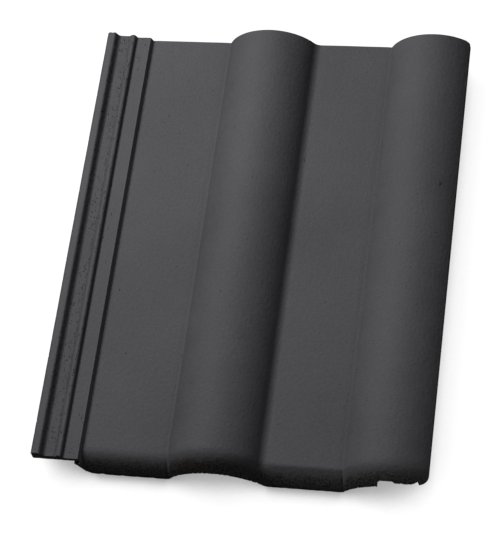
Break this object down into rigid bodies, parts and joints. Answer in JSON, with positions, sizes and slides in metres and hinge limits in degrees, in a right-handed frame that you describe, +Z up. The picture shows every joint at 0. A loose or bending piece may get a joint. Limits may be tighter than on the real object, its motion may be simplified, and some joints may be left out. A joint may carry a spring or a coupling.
{
  "type": "interlocking roof tile",
  "caption": "Double-roll interlocking concrete roof tile with flat pans, ribbed side lock, overlock lip, rounded deep nose and hanging nibs.",
  "frame": {"origin": "centre of the tile's outline on the floor that it lies on", "axes": "+X across the tile from the side lock to the overlock, +Y from the nose to the head, +Z up"},
  "size_m": [0.3384, 0.418, 0.0488],
  "materials": {
    "dark_concrete": "matte through-coloured concrete with a fine cement skin"
  },
  "bodies": {
    "root": {"roof_tile": "dark_concrete"}
  },
  "joints": []
}
